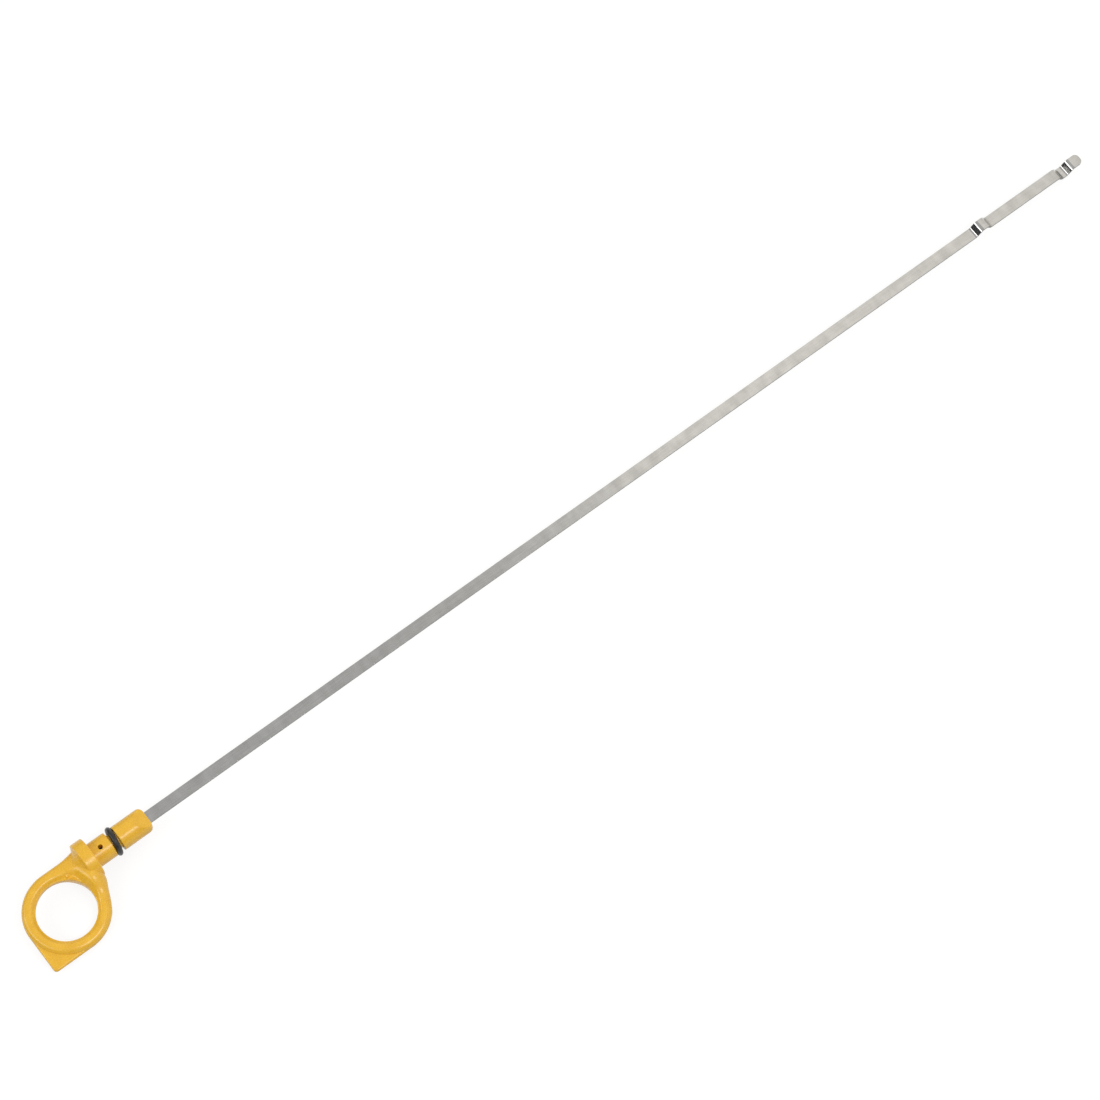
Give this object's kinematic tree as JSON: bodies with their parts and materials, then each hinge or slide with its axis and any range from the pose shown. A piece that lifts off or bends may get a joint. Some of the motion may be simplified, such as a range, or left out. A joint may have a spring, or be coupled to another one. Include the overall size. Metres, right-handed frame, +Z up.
{
  "type": "engine oil dipstick",
  "caption": "Engine oil dipstick: long flat steel blade with cranked level marks, and a plastic plug with a collar, a rubber seal ring and a finger loop.",
  "frame": {"origin": "on the surface it lies on, under the middle of its bounding box", "axes": "+X along the blade towards its tip, +Z up from the surface it lies on; the finger loop hangs off towards -Y"},
  "size_m": [0.52, 0.035, 0.0161],
  "materials": {
    "moulded_plastic": "yellow nylon, moulded, satin gloss",
    "seal_rubber": "black nitrile rubber, moulded, slightly oily",
    "strip_steel": "bare cold rolled steel strip, fine lengthwise grain"
  },
  "bodies": {
    "root": {"handle": "moulded_plastic", "seal_ring": "seal_rubber", "blade": "strip_steel"}
  },
  "joints": []
}
